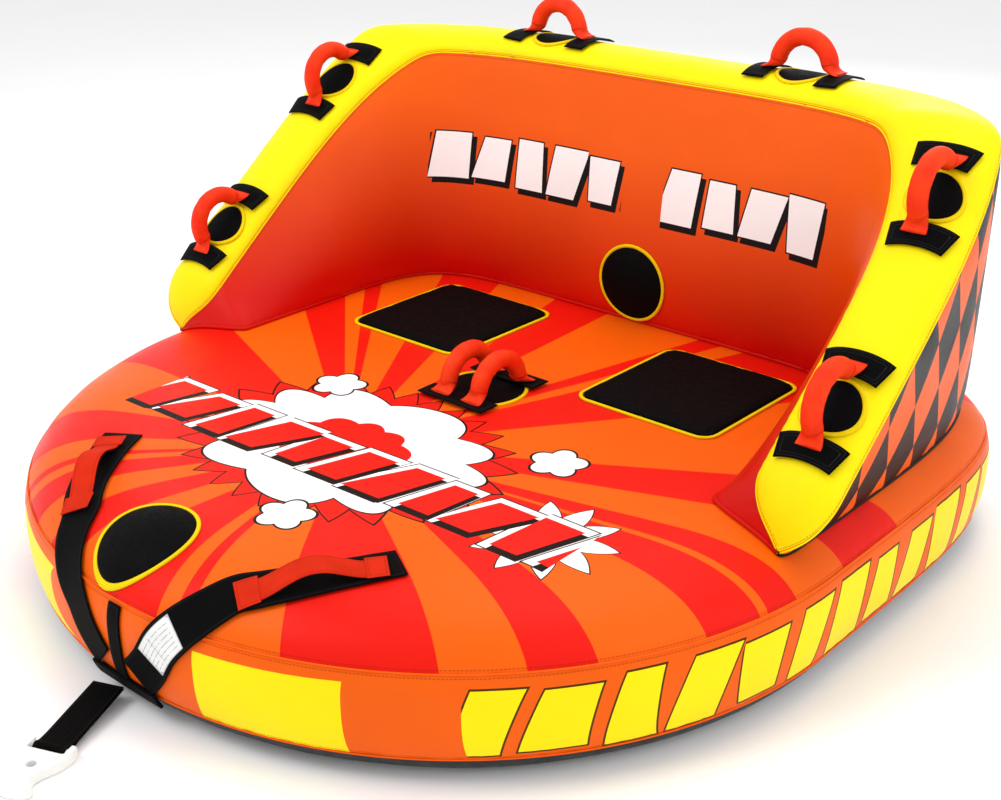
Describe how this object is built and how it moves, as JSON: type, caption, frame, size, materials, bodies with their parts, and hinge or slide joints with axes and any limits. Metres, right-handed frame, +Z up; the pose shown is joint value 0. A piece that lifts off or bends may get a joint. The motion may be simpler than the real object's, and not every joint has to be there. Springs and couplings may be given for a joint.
{
  "type": "towable tube",
  "caption": "Inflatable two-rider sofa tube: rounded base, sloping arms and back, foam grab handles, seat pads, valve covers, webbing harness and tow hook.",
  "frame": {"origin": "centre of the flat underside, on the ground", "axes": "+Z up, +Y from the nose towards the backrest, +X to the right of a viewer who looks along +Y, as left and right in the names are"},
  "size_m": [1.606, 1.8898, 0.8954],
  "materials": {
    "bladder_film": "smooth grey PVC film",
    "deck_fabric": "tight nylon, printed red and orange rays",
    "side_fabric": "tight nylon, orange with yellow slanted blocks",
    "under_fabric": "heavy black nylon",
    "backrest_fabric": "tight nylon, orange shading to red",
    "rim_fabric": "tight nylon, yellow",
    "check_fabric": "tight nylon, black and orange slanted checks",
    "pad_foam": "black EVA foam with a fine grain",
    "binding_tape": "folded yellow edging tape",
    "webbing": "black polyester webbing",
    "grip_foam": "closed-cell foam, orange red",
    "neoprene": "black neoprene",
    "valve_plastic": "moulded",
    "flap_rubber": "soft moulded rubber",
    "loop_webbing": "orange red webbing",
    "label_cloth": "white woven label",
    "hook_plastic": "white moulded nylon",
    "zip_tape": "woven tape with moulded teeth",
    "zip_metal": "die cast"
  },
  "bodies": {
    "tube": {"base_bladder": "bladder_film", "back_bladder": "bladder_film", "base_baffles": "bladder_film", "deck_panel": "deck_fabric", "side_band": "side_fabric", "bottom_panel": "under_fabric", "backrest_panel": "backrest_fabric", "rim_panel": "rim_fabric", "outer_panel": "check_fabric", "seat_pad_left": "pad_foam", "seat_pad_right": "pad_foam", "seat_binding_left": "binding_tape", "seat_binding_right": "binding_tape", "centre_pad": "pad_foam", "centre_binding": "binding_tape", "centre_anchors": "webbing", "rim_pads": "pad_foam", "rim_bindings": "binding_tape", "rim_anchors": "webbing", "front_valve": "valve_plastic", "back_valve": "valve_plastic", "harness_leg_left": "webbing", "harness_leg_right": "webbing", "harness_handle_left": "loop_webbing", "harness_handle_right": "loop_webbing", "keeper_strap": "webbing", "nose_gusset": "webbing", "label_patch": "label_cloth", "base_zip_tape": "zip_tape", "back_zip_tape": "zip_tape"},
    "lower_handle_left": {"lower_grip_left": "grip_foam", "lower_core_left": "webbing"},
    "lower_handle_right": {"lower_grip_right": "grip_foam", "lower_core_right": "webbing"},
    "upper_handle_left": {"upper_grip_left": "grip_foam", "upper_core_left": "webbing"},
    "upper_handle_right": {"upper_grip_right": "grip_foam", "upper_core_right": "webbing"},
    "back_handle_left": {"back_grip_left": "grip_foam", "back_core_left": "webbing"},
    "back_handle_right": {"back_grip_right": "grip_foam", "back_core_right": "webbing"},
    "centre_handle_left": {"centre_grip_left": "grip_foam", "centre_core_left": "webbing"},
    "centre_handle_right": {"centre_grip_right": "grip_foam", "centre_core_right": "webbing"},
    "front_cover_lid": {"front_cover": "neoprene", "front_cover_binding": "binding_tape"},
    "back_cover_lid": {"back_cover": "neoprene", "back_cover_binding": "binding_tape"},
    "front_cap": {"front_valve_cap": "valve_plastic"},
    "front_check_flap": {"front_valve_flap": "flap_rubber"},
    "back_cap": {"back_valve_cap": "valve_plastic"},
    "back_check_flap": {"back_valve_flap": "flap_rubber"},
    "base_slider": {"base_zip_slider": "zip_metal"},
    "back_slider": {"back_zip_slider": "zip_metal"},
    "strap": {"tow_strap": "webbing"},
    "hook": {"tow_hook": "hook_plastic"}
  },
  "joints": [
    {"name": "lower_left_handle_swing", "type": "hinge", "parent": "tube", "child": "lower_handle_left", "pos_m": [-0.73095, 0.00457, 0.46628], "axis": [0, 0.7749, 0.632], "range_deg": [-60, 60]},
    {"name": "lower_right_handle_swing", "type": "hinge", "parent": "tube", "child": "lower_handle_right", "pos_m": [0.73095, 0.00457, 0.46628], "axis": [0, 0.7749, 0.632], "range_deg": [-60, 60]},
    {"name": "upper_left_handle_swing", "type": "hinge", "parent": "tube", "child": "upper_handle_left", "pos_m": [-0.71166, 0.32355, 0.72643], "axis": [0, 0.7749, 0.632], "range_deg": [-60, 60]},
    {"name": "upper_right_handle_swing", "type": "hinge", "parent": "tube", "child": "upper_handle_right", "pos_m": [0.71166, 0.32355, 0.72643], "axis": [0, 0.7749, 0.632], "range_deg": [-60, 60]},
    {"name": "back_left_handle_swing", "type": "hinge", "parent": "tube", "child": "back_handle_left", "pos_m": [-0.297, 0.61004, 0.834], "axis": [1, 0, 0], "range_deg": [-60, 60]},
    {"name": "back_right_handle_swing", "type": "hinge", "parent": "tube", "child": "back_handle_right", "pos_m": [0.297, 0.61004, 0.834], "axis": [1, 0, 0], "range_deg": [-60, 60]},
    {"name": "centre_left_handle_swing", "type": "hinge", "parent": "tube", "child": "centre_handle_left", "pos_m": [-0.038, 0.03, 0.293], "axis": [0, 1, 0], "range_deg": [-70, 25]},
    {"name": "centre_right_handle_swing", "type": "hinge", "parent": "tube", "child": "centre_handle_right", "pos_m": [0.038, 0.03, 0.293], "axis": [0, 1, 0], "range_deg": [-25, 70]},
    {"name": "front_cover_lift", "type": "hinge", "parent": "tube", "child": "front_cover_lid", "pos_m": [-0.032, -0.634, 0.269], "axis": [-1, 0, 0], "range_deg": [0, 110]},
    {"name": "back_cover_lift", "type": "hinge", "parent": "tube", "child": "back_cover_lid", "pos_m": [0, 0.492, 0.44], "axis": [-1, 0, 0], "range_deg": [0, 110]},
    {"name": "front_cap_turn", "type": "hinge", "parent": "tube", "child": "front_cap", "pos_m": [-0.032, -0.72, 0.25503], "axis": [0, -0.2714, 0.9625], "range_deg": [0, 270]},
    {"name": "back_cap_turn", "type": "hinge", "parent": "tube", "child": "back_cap", "pos_m": [0, 0.49315, 0.355], "axis": [0, -0.9998, -0.0221], "range_deg": [0, 270]},
    {"name": "front_flap_open", "type": "hinge", "parent": "tube", "child": "front_check_flap", "pos_m": [-0.032, -0.731, 0.22772], "axis": [-1, 0, 0], "range_deg": [0, 35], "stiffness_Nm_per_rad": 0.01, "springref_deg": -11.46},
    {"name": "back_flap_open", "type": "hinge", "parent": "tube", "child": "back_check_flap", "pos_m": [0, 0.51684, 0.33752], "axis": [-1, 0, 0], "range_deg": [0, 35], "stiffness_Nm_per_rad": 0.01, "springref_deg": -11.46},
    {"name": "base_zip_slide", "type": "slide", "parent": "tube", "child": "base_slider", "axis": [1, 0, 0], "range_m": [0, 0.46]},
    {"name": "back_zip_slide", "type": "slide", "parent": "tube", "child": "back_slider", "axis": [1, 0, 0], "range_m": [0, 0.46]},
    {"name": "tow_strap_lift", "type": "hinge", "parent": "tube", "child": "strap", "pos_m": [-0.042, -0.816, 0.022], "axis": [-0.9272, -0.3746, 0], "range_deg": [0, 45]},
    {"name": "tow_hook_swing", "type": "hinge", "parent": "strap", "child": "hook", "pos_m": [0.01589, -0.95928, 0.01], "axis": [-0.9272, -0.3746, 0], "range_deg": [-75, 75]}
  ]
}
